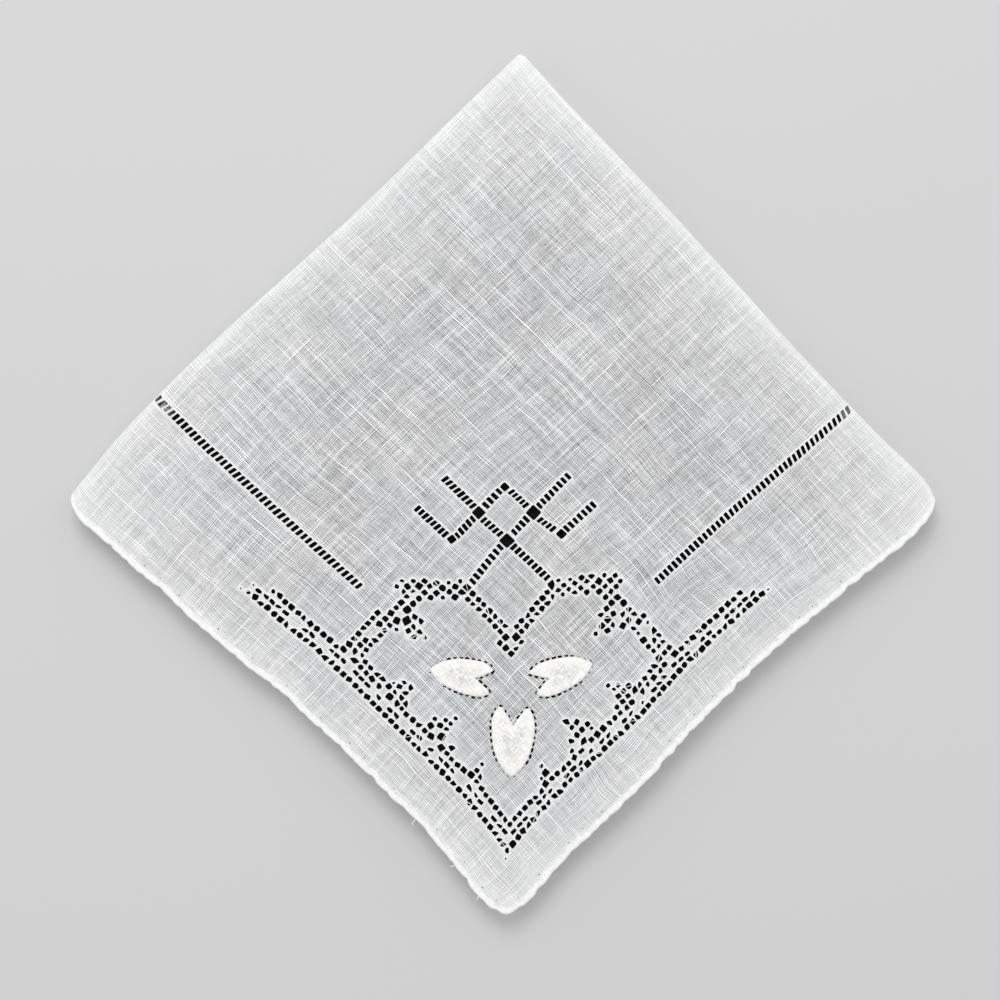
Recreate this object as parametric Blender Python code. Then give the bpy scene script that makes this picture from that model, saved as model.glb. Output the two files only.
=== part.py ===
"""A linen handkerchief lying folded in quarters, with its rolled hem and three applied petals.

Metres, +Z up. The origin is under the middle of the bundle, on the surface that it lies on. The corner
where both folds meet points at +Y, and the corner with the four loose corners of the cloth at -Y.

A place on the folded bundle is (a, b), in metres: a runs from the lower-left hem to the upper-right
fold, b from the lower-right hem to the upper-left fold, and both end at FOLDED_SIDE. Level 0 is the
lowest of the four layers and level 1 the highest.
"""

import math

import bmesh
import bpy

MM = 0.001

# The cloth
CLOTH_SIDE = 290 * MM
FOLDED_SIDE = CLOTH_SIDE / 2
SHEET = 1.0 * MM
HEM = 1.4 * MM
HEM_STEP = 1.2 * MM

# The folds: the first lays two layers together, and the second lays that pair on itself
PAIR_GAP = 0.7 * MM
HALVES_GAP = 0.6 * MM
PAIR_RADIUS = (SHEET + PAIR_GAP) / 2
BEND_RADIUS = (SHEET + HALVES_GAP) / 2 + PAIR_RADIUS
STACK_REACH = BEND_RADIUS + PAIR_RADIUS
STACK_MIDDLE = STACK_REACH + SHEET / 2

# The bundle rests on its four corners: there the lowest layer reaches down by a hair
CORNER_SINK = 0.02 * MM
SINK_REACH = 20 * MM

# The petals
PETAL = 1.0 * MM
PETAL_CLEARANCE = 0.3 * MM

# How finely the surfaces are divided
FLAT_CELLS = 14
FOLD_CELLS = 8
OUTLINE_STEPS = 4
PETAL_RINGS = 3

# Where the edges of the bundle would meet, and how far each of its corners is rounded
CORNER_COLUMNS = ("x", "y", "radius")
CORNERS = {
    "bottom": (1.4 * MM, -103.0 * MM, 6 * MM),
    "left": (-103.2 * MM, -2.8 * MM, 6 * MM),
    "top": (4.7 * MM, 102.3 * MM, 0.8 * MM),
    "right": (103.2 * MM, -4.2 * MM, 5 * MM),
}
CORNER_SOFTNESS = 0.9

# How far each edge strays outwards from the straight line between its corners: the waves that have
# their first, second and third crest on it
EDGE_COLUMNS = ("bow", "skew", "ripple")
EDGES = {
    "lower_left": (-1.9 * MM, -1.2 * MM, 0.3 * MM),
    "upper_left": (1.2 * MM, 0.8 * MM, 0.2 * MM),
    "lower_right": (-1.8 * MM, -0.1 * MM, 0.4 * MM),
    "upper_right": (0.2 * MM, 0.0 * MM, 0.1 * MM),
}
DIAGONAL = math.sqrt(0.5)

# Soft swells of the upper layers, where the folds spring up and the cloth lies unevenly
SWELL_COLUMNS = ("a", "b", "reach", "rise")
SWELLS = (
    (138 * MM, 138 * MM, 34 * MM, 0.9 * MM),
    (60 * MM, 136 * MM, 40 * MM, 0.6 * MM),
    (136 * MM, 52 * MM, 38 * MM, 0.5 * MM),
    (98 * MM, 84 * MM, 30 * MM, 0.4 * MM),
    (24 * MM, 92 * MM, 26 * MM, 0.4 * MM),
    (48 * MM, 8 * MM, 22 * MM, 0.5 * MM),
)

# Half of a petal's outline, from its tip to its notch, in shares of its length and of half its width
PETAL_COLUMNS = ("along", "aside")
PETAL_OUTLINE = (
    (0.00, 0.00),
    (0.05, 0.24),
    (0.22, 0.66),
    (0.42, 0.89),
    (0.66, 1.00),
    (0.86, 0.96),
    (1.00, 0.67),
    (0.91, 0.36),
    (0.74, 0.00),
)
PETAL_HEART = 0.45

# Each petal's tip, the direction from it towards the notch, and the size
PETALS_COLUMNS = ("a", "b", "bearing", "length", "width")
PETALS = {
    "petal_bottom": (24.4 * MM, 23.3 * MM, math.radians(42), 16.0 * MM, 10.5 * MM),
    "petal_left": (28.3 * MM, 54.4 * MM, math.radians(-56), 14.9 * MM, 8.3 * MM),
    "petal_right": (57.3 * MM, 27.9 * MM, math.radians(154), 15.2 * MM, 8.0 * MM),
}

LINEN_COLOUR = (0.60, 0.60, 0.61, 1.0)
PETAL_COLOUR = (0.81, 0.80, 0.76, 1.0)
CLOTH_ROUGHNESS = 0.85


def clear_scene():
    for thing in list(bpy.data.objects):
        bpy.data.objects.remove(thing, do_unlink=True)


def cloth_material(name, colour):
    material = bpy.data.materials.new(name)
    material.use_nodes = True
    shader = material.node_tree.nodes["Principled BSDF"]
    shader.inputs["Base Color"].default_value = colour
    shader.inputs["Roughness"].default_value = CLOTH_ROUGHNESS
    shader.inputs["Metallic"].default_value = 0.0
    return material


def corner_rounded(a, b):
    """The place with the four corners of the square drawn in to their radii."""
    ends = {
        "bottom": (0.0, 0.0),
        "left": (0.0, FOLDED_SIDE),
        "top": (FOLDED_SIDE, FOLDED_SIDE),
        "right": (FOLDED_SIDE, 0.0),
    }
    for name, (end_a, end_b) in ends.items():
        radius = dict(zip(CORNER_COLUMNS, CORNERS[name]))["radius"]
        near_a = 1 - abs(a - end_a) / radius
        near_b = 1 - abs(b - end_b) / radius
        if near_a > 0 and near_b > 0:
            drawn_a = near_a * math.sqrt(1 - CORNER_SOFTNESS * near_b**2 / 2)
            drawn_b = near_b * math.sqrt(1 - CORNER_SOFTNESS * near_a**2 / 2)
            a = end_a + math.copysign(radius * (1 - drawn_a), FOLDED_SIDE / 2 - end_a)
            b = end_b + math.copysign(radius * (1 - drawn_b), FOLDED_SIDE / 2 - end_b)
    return a, b


def stray(edge, share):
    """How far an edge lies outside the straight line between its corners."""
    return sum(
        size * math.sin((crests + 1) * math.pi * share)
        for crests, size in enumerate(EDGES[edge])
    )


def spot_on_plan(a, b):
    """The (x, y) of a place on the bundle, seen from above."""
    a, b = corner_rounded(a, b)
    p, q = a / FOLDED_SIDE, b / FOLDED_SIDE
    weights = {
        "bottom": (1 - p) * (1 - q),
        "left": (1 - p) * q,
        "top": p * q,
        "right": p * (1 - q),
    }
    x = sum(weight * CORNERS[name][0] for name, weight in weights.items())
    y = sum(weight * CORNERS[name][1] for name, weight in weights.items())
    towards_left = (1 - p) * stray("lower_left", q) + q * stray("upper_left", p)
    towards_right = p * stray("upper_right", q) + (1 - q) * stray("lower_right", p)
    upwards = (
        q * stray("upper_left", p)
        + p * stray("upper_right", q)
        - (1 - p) * stray("lower_left", q)
        - (1 - q) * stray("lower_right", p)
    )
    x += DIAGONAL * (towards_right - towards_left)
    y += DIAGONAL * upwards
    return x, y


def swell(a, b):
    """How far the top layer rises at a place because the cloth lies unevenly."""
    total = 0.0
    for row in SWELLS:
        bump = dict(zip(SWELL_COLUMNS, row))
        distance = math.hypot(a - bump["a"], b - bump["b"])
        total += bump["rise"] * math.exp(-((distance / bump["reach"]) ** 2))
    return total


def corner_sink(a, b):
    """How far the lowest layer reaches down at a place near one of the four corners."""
    from_corner = math.hypot(min(a, FOLDED_SIDE - a), min(b, FOLDED_SIDE - b))
    return CORNER_SINK * max(0.0, 1 - from_corner / SINK_REACH)


def rows_round_fold(nose):
    """(place, turn) of each row from a hem to a fold, round it and back. The fold's round end reaches
    nose past the last flat row, and turn goes from 0 to pi round it. Rows lie closer near the ends."""
    flat = FOLDED_SIDE - nose
    out = [
        (flat * (1 - math.cos(math.pi * k / FLAT_CELLS)) / 2, 0.0)
        for k in range(FLAT_CELLS)
    ]
    turn = [(flat, math.pi * k / FOLD_CELLS) for k in range(FOLD_CELLS + 1)]
    back = [(place, math.pi) for place, _ in reversed(out)]
    return out + turn + back


def folded_point(first, second, on_hem):
    """The point of the sheet's middle where a row of the first fold crosses one of the second."""
    place, turn = first
    a = place + PAIR_RADIUS * math.sin(turn)
    radius = BEND_RADIUS + PAIR_RADIUS * math.cos(turn)
    place, turn = second
    b = place + radius * math.sin(turn)
    height = STACK_MIDDLE - radius * math.cos(turn)
    level = (height - SHEET / 2) / (2 * STACK_REACH)
    a += HEM_STEP * (1 - level) * (1 - a / FOLDED_SIDE)
    b += HEM_STEP * (1 - level) * (1 - b / FOLDED_SIDE)
    if on_hem:
        height += (HEM - SHEET) / 2
    x, y = spot_on_plan(a, b)
    return x, y, height + level * swell(a, b) - (1 - level) * corner_sink(a, b)


def add_object(name, mesh, material):
    mesh.materials.append(material)
    thing = bpy.data.objects.new(name, mesh)
    bpy.context.scene.collection.objects.link(thing)
    return thing


def folded_cloth(material):
    """The whole handkerchief: one sheet that runs through all four layers, thicker at its hem."""
    first_rows = rows_round_fold(PAIR_RADIUS + SHEET / 2)
    second_rows = rows_round_fold(STACK_REACH + SHEET / 2)
    ends = (0, len(first_rows) - 1)
    work = bmesh.new()
    grid = []
    hem_points = []
    for j, second in enumerate(second_rows):
        line = []
        for i, first in enumerate(first_rows):
            on_hem = i in ends or j in ends
            point = work.verts.new(folded_point(first, second, on_hem))
            line.append(point)
            if on_hem:
                hem_points.append(point)
        grid.append(line)
    for low, high in zip(grid, grid[1:]):
        for i in range(len(low) - 1):
            work.faces.new((low[i], low[i + 1], high[i + 1], high[i]))
    work.verts.index_update()
    hem_indices = [point.index for point in hem_points]
    mesh = bpy.data.meshes.new("cloth")
    work.to_mesh(mesh)
    work.free()
    mesh.shade_smooth()
    cloth = add_object("cloth", mesh, material)
    cloth.vertex_groups.new(name="hem").add(hem_indices, 1.0, "REPLACE")
    thicken(cloth, HEM)
    cloth.modifiers["Thickness"].vertex_group = "hem"
    cloth.modifiers["Thickness"].thickness_vertex_group = SHEET / HEM
    return cloth


def thicken(thing, thickness):
    solidify = thing.modifiers.new("Thickness", "SOLIDIFY")
    solidify.thickness = thickness
    solidify.offset = 0.0
    solidify.use_even_offset = True


def smooth_through(points):
    """Points on a smooth curve through all the given ones, with OUTLINE_STEPS to each stretch."""
    extended = [points[0], *points, points[-1]]
    curve = []
    for before, start, end, after in zip(extended, extended[1:], extended[2:], extended[3:]):
        for k in range(OUTLINE_STEPS):
            t = k / OUTLINE_STEPS
            curve.append(
                tuple(
                    s + t * (e - o) / 2 + t**2 * (o - 2.5 * s + 2 * e - f / 2)
                    + t**3 * (1.5 * (s - e) + (f - o) / 2)
                    for o, s, e, f in zip(before, start, end, after)
                )
            )
    return curve + [points[-1]]


def petal_outline(length, width):
    """The closed outline of a petal, from its tip round to its tip, x along it and y aside."""
    side = [(length * along, width / 2 * aside) for along, aside in smooth_through(PETAL_OUTLINE)]
    return side + [(x, -y) for x, y in reversed(side[1:-1])]


def petal(name, material):
    """One applied petal, which follows the swells of the top layer just above it."""
    sizes = dict(zip(PETALS_COLUMNS, PETALS[name]))
    along = (math.cos(sizes["bearing"]), math.sin(sizes["bearing"]))
    heart = sizes["length"] * PETAL_HEART
    lift = STACK_MIDDLE + STACK_REACH + SHEET / 2 + PETAL_CLEARANCE + PETAL / 2
    work = bmesh.new()

    def point_at(x, y):
        a = sizes["a"] + x * along[0] - y * along[1]
        b = sizes["b"] + x * along[1] + y * along[0]
        return work.verts.new((*spot_on_plan(a, b), lift + swell(a, b)))

    outline = petal_outline(sizes["length"], sizes["width"])
    centre = point_at(heart, 0.0)
    rings = [
        [point_at(heart + share * (x - heart), share * y) for x, y in outline]
        for share in ((k + 1) / PETAL_RINGS for k in range(PETAL_RINGS))
    ]
    for i in range(len(outline)):
        work.faces.new((centre, rings[0][i - 1], rings[0][i]))
        for inner, outer in zip(rings, rings[1:]):
            work.faces.new((inner[i - 1], outer[i - 1], outer[i], inner[i]))
    bmesh.ops.recalc_face_normals(work, faces=work.faces)
    mesh = bpy.data.meshes.new(name)
    work.to_mesh(mesh)
    work.free()
    mesh.shade_smooth()
    thing = add_object(name, mesh, material)
    thicken(thing, PETAL)
    return thing


def centre_over_origin(things):
    """Moves everything sideways so that the middle of the whole bundle is over the origin."""
    bpy.context.view_layer.update()
    graph = bpy.context.evaluated_depsgraph_get()
    corners = []
    for thing in things:
        shape = thing.evaluated_get(graph)
        mesh = shape.to_mesh()
        corners += [(point.co.x, point.co.y) for point in mesh.vertices]
        shape.to_mesh_clear()
    xs, ys = zip(*corners)
    for thing in things:
        thing.location.x = -(min(xs) + max(xs)) / 2
        thing.location.y = -(min(ys) + max(ys)) / 2


def main():
    clear_scene()
    linen = cloth_material("linen", LINEN_COLOUR)
    applied = cloth_material("petal_linen", PETAL_COLOUR)
    things = [folded_cloth(linen)]
    things += [petal(name, applied) for name in PETALS]
    centre_over_origin(things)


main()
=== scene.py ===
"""The looks of the linen handkerchief: one sheet of lawn folded in quarters, with its openwork cut
through it and whipped with thread, its rolled hem, and three applied petals.

Metres, in the frame of the solids. A place on the folded bundle is (a, b): a runs from the
lower-left hem to the upper-right fold, b from the lower-right hem to the upper-left fold. A place
on the sheet as it was cut is (s, v), from one of its corners. In the top layer s is a, and v is the
sheet's side less b.
"""

import math
import random

import bpy
from mathutils import Matrix, Vector, noise
from mathutils.geometry import delaunay_2d_cdt


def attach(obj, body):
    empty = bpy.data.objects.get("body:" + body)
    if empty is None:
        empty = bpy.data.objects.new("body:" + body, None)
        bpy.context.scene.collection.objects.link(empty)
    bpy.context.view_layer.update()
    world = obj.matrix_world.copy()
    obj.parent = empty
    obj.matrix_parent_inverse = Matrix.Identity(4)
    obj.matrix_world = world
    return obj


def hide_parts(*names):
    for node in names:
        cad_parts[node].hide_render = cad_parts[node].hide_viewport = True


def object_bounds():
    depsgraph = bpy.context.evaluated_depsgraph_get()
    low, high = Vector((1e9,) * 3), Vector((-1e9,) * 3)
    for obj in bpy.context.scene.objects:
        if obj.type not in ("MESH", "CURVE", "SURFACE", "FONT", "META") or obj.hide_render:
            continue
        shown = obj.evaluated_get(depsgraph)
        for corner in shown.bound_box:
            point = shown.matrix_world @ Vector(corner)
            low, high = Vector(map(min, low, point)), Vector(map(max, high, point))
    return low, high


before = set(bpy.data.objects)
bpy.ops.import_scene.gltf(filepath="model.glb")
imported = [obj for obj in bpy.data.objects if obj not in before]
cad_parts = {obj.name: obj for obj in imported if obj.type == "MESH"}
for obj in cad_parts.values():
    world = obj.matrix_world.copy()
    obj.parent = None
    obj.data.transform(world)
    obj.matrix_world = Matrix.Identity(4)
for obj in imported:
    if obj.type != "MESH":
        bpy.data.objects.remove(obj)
cad_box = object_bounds()

MM = 0.001
SEED = 11
UV_NAME = "flat"
WORKED = "worked"

# The sheet and its two folds, as in the solids, with linen of its real thickness
CLOTH_SIDE = 290 * MM
FOLDED_SIDE = CLOTH_SIDE / 2
SHEET = 0.25 * MM
PAIR_GAP = 1.925 * MM
HALVES_GAP = 1.05 * MM
PAIR_RADIUS = (SHEET + PAIR_GAP) / 2
BEND_RADIUS = (SHEET + HALVES_GAP) / 2 + PAIR_RADIUS
STACK_REACH = BEND_RADIUS + PAIR_RADIUS
STACK_MIDDLE = STACK_REACH + SHEET / 2
FIRST_NOSE = PAIR_RADIUS + SHEET / 2
SECOND_NOSE = STACK_REACH + SHEET / 2
HEM_STEP = 1.2 * MM

# The rolled hem
HEM_WIDTH = 1.75 * MM
HEM_HEIGHT = 1.05 * MM
HEM_SIDES = 12
HEM_TAPER = 0.5
HEM_RAMP = 6 * MM
HEM_TURN = 1.2 * MM
HEM_STEPS = (0.35 * MM, 0.75 * MM)
HEM_FINE_REACH = 4 * MM
STITCH_REACH = 0.7 * MM
STITCH_PULLS = (0.16, 0.12, 0.14 * MM)
PLUMP_PITCH = 1.6 * MM
PLUMP = (0.24, 0.06)
WAVER_PITCH = 3.2 * MM
WAVER = 0.34 * MM
STITCH_PITCH = 5.5 * MM
STITCH_SPREAD = (0.8, 1.25)
HEM_WAVE_PITCH = 9 * MM
HEM_WAVE = 0.3 * MM
HEM_WAVE_REACH = 7 * MM
DOT_PITCH = (4 * MM, 11 * MM)

# How finely the sheet is divided where it shows, where it is hidden and round its folds
SEEN_STEP = 1.5 * MM
HIDDEN_STEP = 6 * MM
EDGE_STEPS = (1.2 * MM, 2.4 * MM, 4 * MM)
FIRST_FOLD_ROWS = 8
SECOND_FOLD_ROWS = 12

# The outline of the bundle, as in the solids
CORNER_COLUMNS = ("x", "y", "radius")
CORNERS = {
    "bottom": (1.4 * MM, -103.0 * MM, 6 * MM),
    "left": (-103.2 * MM, -2.8 * MM, 6 * MM),
    "top": (4.7 * MM, 102.3 * MM, 0.8 * MM),
    "right": (103.2 * MM, -4.2 * MM, 5 * MM),
}
CORNER_SOFTNESS = 0.9
EDGE_COLUMNS = ("bow", "skew", "ripple")
EDGES = {
    "lower_left": (-1.9 * MM, -1.2 * MM, 0.3 * MM),
    "upper_left": (1.2 * MM, 0.8 * MM, 0.2 * MM),
    "lower_right": (-1.8 * MM, -0.1 * MM, 0.4 * MM),
    "upper_right": (0.2 * MM, 0.0 * MM, 0.1 * MM),
}
DIAGONAL = math.sqrt(0.5)

# Where the cloth's edge strays from those curves, in millimetres
BULGE_COLUMNS = ("a", "b", "reach", "shift_a", "shift_b")
BULGES = (
    (134.0, 0.0, 11.0, 0.0, -1.3),
    (145.0, 8.0, 10.0, 1.15, 0.0),
    (145.0, 0.0, 4.0, -0.4, 0.4),
    (145.0, 50.0, 16.0, -0.4, 0.0),
    (0.0, 137.0, 8.0, -0.75, 0.0),
    (7.0, 145.0, 6.0, 0.0, -0.6),
    (145.0, 128.0, 20.0, -0.5, 0.0),
    (90.0, 145.0, 26.0, 0.0, -0.35),
    (22.0, 0.0, 9.0, 0.0, 0.75),
    (48.0, 0.0, 9.0, 0.0, -0.55),
    (92.0, 0.0, 13.0, 0.0, 0.6),
    (0.0, 31.0, 6.0, 0.7, 0.0),
    (0.0, 9.0, 6.0, -0.8, 0.0),
    (0.0, 76.0, 5.0, 0.55, 0.0),
    (0.0, 112.0, 5.0, 0.6, 0.0),
    (0.0, 0.0, 5.0, 0.3, 0.3),
)
SWELL_COLUMNS = ("a", "b", "reach", "rise")
SWELLS = (
    (138 * MM, 138 * MM, 34 * MM, 0.9 * MM),
    (60 * MM, 136 * MM, 40 * MM, 0.6 * MM),
    (136 * MM, 52 * MM, 38 * MM, 0.5 * MM),
    (98 * MM, 84 * MM, 30 * MM, 0.4 * MM),
    (24 * MM, 92 * MM, 26 * MM, 0.4 * MM),
    (48 * MM, 8 * MM, 22 * MM, 0.5 * MM),
)

# Low relief of the top layer: an uneven lie, and gathers that run in from the lower-right hem
LIE_SCALE = 17 * MM
LIE_RISE = 0.16 * MM
GATHER_PITCH = 4.3 * MM
GATHER_RISE = 0.13 * MM
GATHER_REACH = 9 * MM

# The openwork, in millimetres as (a, b): rows of punched holes with their first and last places,
# or the place of a hole alone
HOLE_SIZES = {
    "dot": (0.7, 0.5),
    "small": (1.15, 1.05),
    "net": (1.62, 1.5),
    "flat": (1.75, 1.05),
    "big": (2.0, 1.85),
}
RUN_COLUMNS = ("kind", "a", "b", "end_a", "end_b", "holes")
RIGHT_RUNS = (
    ("dot", 10.3, 10.8),
    ("net", 11.9, 11.8, 15.9, 12.3, 3),
    ("net", 17.8, 12.4, 32.7, 12.8, 9),
    ("net", 34.6, 12.7, 56.8, 11.5, 13),
    ("net", 58.6, 11.5, 73.4, 12.3, 9),
    ("net", 75.3, 12.3, 98.5, 12.3, 13),
    ("flat", 16.1, 14.0, 20.1, 14.1, 3),
    ("flat", 25.2, 14.3, 29.3, 14.3, 3),
    ("flat", 34.6, 14.1, 39.0, 13.9, 3),
    ("small", 42.7, 14.1),
    ("flat", 46.5, 13.6, 48.6, 13.4, 2),
    ("flat", 53.8, 13.2, 56.1, 13.2, 2),
    ("small", 59.8, 13.1),
    ("flat", 64.0, 13.3, 68.0, 13.8, 3),
    ("flat", 71.7, 14.1, 75.7, 13.9, 3),
    ("flat", 80.7, 13.9, 82.9, 13.9, 2),
    ("flat", 88.8, 13.9, 96.8, 14.0, 5),
    ("dot", 100.4, 12.2),
    ("net", 16.4, 15.8, 27.3, 16.0, 7),
    ("big", 29.3, 16.2),
    ("net", 31.4, 16.2, 36.8, 15.7, 4),
    ("big", 38.8, 15.7),
    ("flat", 41.1, 15.5),
    ("net", 44.8, 15.7, 58.1, 14.9, 8),
    ("net", 61.9, 14.9, 70.0, 15.8, 5),
    ("big", 73.4, 15.9),
    ("net", 75.5, 15.7, 94.6, 15.9, 11),
    ("net", 54.5, 16.6, 62.2, 16.6, 5),
    ("net", 64.2, 16.7, 68.0, 17.3, 3),
    ("big", 70.0, 17.8),
    ("net", 71.9, 17.8, 73.5, 17.9, 2),
    ("small", 29.6, 17.9),
    ("big", 31.2, 18.2),
    ("small", 31.5, 19.9),
    ("net", 39.3, 17.3),
    ("big", 43.0, 17.0),
    ("small", 46.6, 17.5),
    ("net", 41.1, 18.9, 46.6, 18.9, 4),
    ("net", 43.2, 21.0, 45.0, 21.0, 2),
    ("net", 43.1, 22.7),
    ("net", 56.6, 18.2, 60.1, 18.2, 3),
    ("net", 56.7, 20.0, 58.3, 20.0, 2),
    ("small", 56.5, 21.7),
    ("net", 70.1, 19.9, 73.6, 19.9, 3),
    ("net", 70.1, 21.6, 73.6, 21.6, 3),
    ("net", 70.2, 23.5, 73.5, 23.5, 2),
    ("small", 70.4, 25.4, 73.8, 25.6, 2),
    ("net", 70.5, 27.2, 74.0, 27.4, 3),
    ("net", 68.9, 29.3, 72.6, 29.3, 3),
    ("net", 65.4, 31.0, 67.4, 31.1, 2),
    ("net", 70.8, 31.1, 72.8, 31.1, 2),
    ("small", 62.7, 32.4),
    ("net", 65.1, 32.7),
    ("big", 67.1, 32.8),
    ("net", 69.2, 32.9),
    ("net", 72.7, 33.0),
    ("net", 66.9, 34.8, 68.7, 34.8, 2),
    ("big", 70.6, 35.0),
    ("net", 72.6, 35.0),
    ("net", 70.6, 37.0, 74.1, 37.1, 3),
    ("small", 75.8, 37.3),
    ("net", 70.4, 38.9, 72.2, 38.9, 2),
    ("big", 74.0, 39.1),
    ("net", 75.8, 39.1),
    ("net", 68.1, 40.9, 70.1, 40.8, 2),
    ("big", 72.0, 40.8),
    ("small", 73.9, 40.9),
    ("net", 65.7, 42.7, 67.7, 42.6, 2),
    ("big", 69.8, 42.7),
    ("net", 71.7, 43.0),
    ("small", 63.5, 44.4),
    ("net", 65.5, 44.3),
    ("big", 67.5, 44.3),
    ("net", 69.6, 44.2),
    ("net", 61.3, 45.8, 65.3, 45.9, 3),
    ("small", 67.3, 45.8),
    ("small", 65.2, 47.6),
    ("net", 50.2, 45.1, 59.5, 45.6, 6),
    ("net", 50.2, 46.7, 61.2, 47.3, 7),
    ("big", 63.4, 47.7),
    ("net", 44.8, 43.3, 48.3, 43.3, 3),
    ("net", 44.7, 45.1, 44.7, 46.8, 2),
    ("big", 48.4, 45.1),
    ("big", 46.5, 46.9),
)
LEFT_RUNS = (
    ("net", 12.0, 13.4, 12.5, 17.0, 3),
    ("net", 12.6, 18.7, 13.1, 29.9, 7),
    ("net", 13.1, 31.8, 13.0, 50.8, 11),
    ("net", 13.0, 52.7, 13.5, 70.3, 10),
    ("net", 13.7, 72.2, 13.5, 95.6, 13),
    ("small", 13.4, 97.5),
    ("flat", 14.4, 15.5, 14.5, 19.4, 3),
    ("flat", 14.8, 24.4, 15.4, 28.4, 3),
    ("flat", 15.2, 34.1, 14.9, 38.1, 3),
    ("flat", 15.0, 41.4),
    ("flat", 14.9, 45.2, 14.8, 47.2, 2),
    ("flat", 14.7, 52.9, 14.7, 54.6, 2),
    ("flat", 14.9, 58.7),
    ("flat", 15.4, 62.5, 15.6, 66.4, 3),
    ("flat", 15.8, 70.4, 15.8, 74.2, 3),
    ("flat", 15.4, 79.8, 15.4, 82.0, 2),
    ("flat", 15.4, 88.0, 15.2, 96.0, 5),
    ("dot", 13.0, 99.4, 15.4, 97.8, 2),
    ("net", 16.3, 17.4, 17.4, 28.2, 7),
    ("net", 19.0, 28.4),
    ("big", 17.6, 30.4),
    ("net", 19.5, 30.0),
    ("small", 21.3, 30.2),
    ("net", 17.2, 32.4, 16.9, 36.2, 3),
    ("big", 17.1, 37.9),
    ("net", 18.9, 38.2),
    ("big", 17.0, 39.8),
    ("big", 18.9, 41.5),
    ("net", 20.9, 41.8, 22.7, 42.1, 2),
    ("small", 24.4, 42.1),
    ("big", 17.1, 43.4),
    ("net", 20.6, 43.6, 22.4, 43.6, 2),
    ("net", 17.0, 45.4, 18.9, 45.3, 2),
    ("small", 20.7, 45.5),
    ("net", 16.8, 47.2, 16.7, 51.2, 3),
    ("net", 16.9, 52.9, 18.5, 52.8, 2),
    ("net", 16.9, 54.7, 21.9, 54.9, 4),
    ("big", 16.9, 56.7),
    ("net", 18.7, 56.6, 21.9, 56.7, 3),
    ("big", 18.6, 58.5),
    ("small", 20.1, 58.4),
    ("net", 17.0, 60.6, 17.4, 66.5, 4),
    ("net", 18.7, 60.8, 19.0, 66.5, 4),
    ("big", 17.8, 68.6),
    ("net", 17.4, 74.1, 17.3, 91.7, 10),
    ("small", 17.3, 93.5),
    ("net", 19.7, 68.3, 29.4, 68.4, 7),
    ("big", 31.4, 67.9),
    ("big", 34.9, 67.9),
    ("net", 36.9, 67.8, 42.6, 67.9, 4),
    ("net", 44.3, 67.4),
    ("net", 19.3, 70.2, 22.9, 70.0, 3),
    ("net", 28.0, 70.2, 38.9, 69.9, 7),
    ("big", 40.9, 69.9),
    ("net", 42.7, 69.7),
    ("big", 17.9, 72.3),
    ("net", 19.6, 72.0, 29.6, 72.4, 7),
    ("small", 29.7, 66.4),
    ("big", 32.9, 66.2),
    ("net", 34.9, 65.5),
    ("net", 31.4, 64.2, 34.9, 63.8, 3),
    ("net", 31.4, 62.4, 32.9, 62.0, 2),
    ("small", 32.9, 60.4),
    ("net", 40.8, 65.9, 44.4, 65.5, 3),
    ("small", 46.3, 65.4),
    ("small", 42.8, 63.9),
    ("net", 44.8, 63.7, 46.7, 63.6, 2),
    ("small", 48.4, 63.7),
    ("net", 44.9, 61.9),
    ("net", 37.4, 71.5),
    ("big", 39.0, 71.6),
    ("small", 40.9, 71.5),
    ("small", 37.3, 73.4, 39.0, 73.4, 2),
    ("net", 46.6, 48.6, 46.6, 59.4, 7),
    ("net", 48.3, 48.6, 48.3, 59.4, 7),
    ("big", 46.6, 61.5),
    ("big", 48.6, 61.5),
)

# Drawn-thread ladders, in millimetres: their first and last holes, and how far the holes lean
LADDER_COLUMNS = ("a", "b", "end_a", "end_b", "rungs", "lean")
LADDERS = (
    (50.5, 61.6, 60.9, 62.8, 8, 0.0),
    (65.8, 63.0, 70.0, 63.3, 4, 0.0),
    (74.5, 63.5, 84.2, 64.1, 8, 0.0),
    (55.9, 71.8, 61.2, 72.1, 5, 0.1),
    (65.7, 72.3, 70.2, 72.5, 4, 0.0),
    (75.2, 55.1, 83.7, 55.0, 7, 0.0),
    (63.6, 49.9, 63.2, 60.6, 9, 0.05),
    (63.1, 65.1, 62.8, 70.1, 5, 0.1),
    (63.5, 74.3, 63.6, 83.4, 8, 0.2),
    (72.2, 70.4, 72.3, 65.8, 5, 0.15),
    (72.2, 60.9, 72.8, 57.3, 4, 0.1),
    (54.1, 74.0, 54.1, 82.9, 8, 0.1),
    (82.3, 31.4, 103.6, 31.8, 16, 0.05),
    (105.0, 31.8, 123.6, 31.4, 14, 0.15),
    (125.0, 31.3, 143.6, 30.7, 14, 0.35),
    (31.4, 79.9, 31.7, 110.0, 22, 0.22),
    (31.7, 111.4, 31.4, 125.4, 11, 0.26),
    (31.3, 126.8, 31.0, 143.6, 13, 0.2),
)
RUNG_HOLE = (0.98, 1.9)

# Where ladders cross, the cloth is cut away in squares, in millimetres
CROSSING_COLUMNS = ("a", "b", "side")
CROSSINGS = (
    (63.3, 72.2, 2.9),
    (63.2, 62.8, 2.9),
    (72.3, 63.3, 2.9),
    (54.3, 72.1, 2.0),
    (73.4, 55.1, 2.1),
    (71.9, 72.4, 1.8),
)

# Where the weave is drawn aside by the work next to it, in millimetres
PULL_COLUMNS = ("a", "b", "reach", "shift_a", "shift_b")
PULLS = (
    (84.0, 24.0, 13.0, 1.7, -1.3),
    (35.0, 5.0, 9.0, 1.5, 0.8),
    (50.0, 4.0, 8.0, -1.3, 0.7),
    (112.0, 8.0, 10.0, 1.0, 0.6),
)

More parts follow.
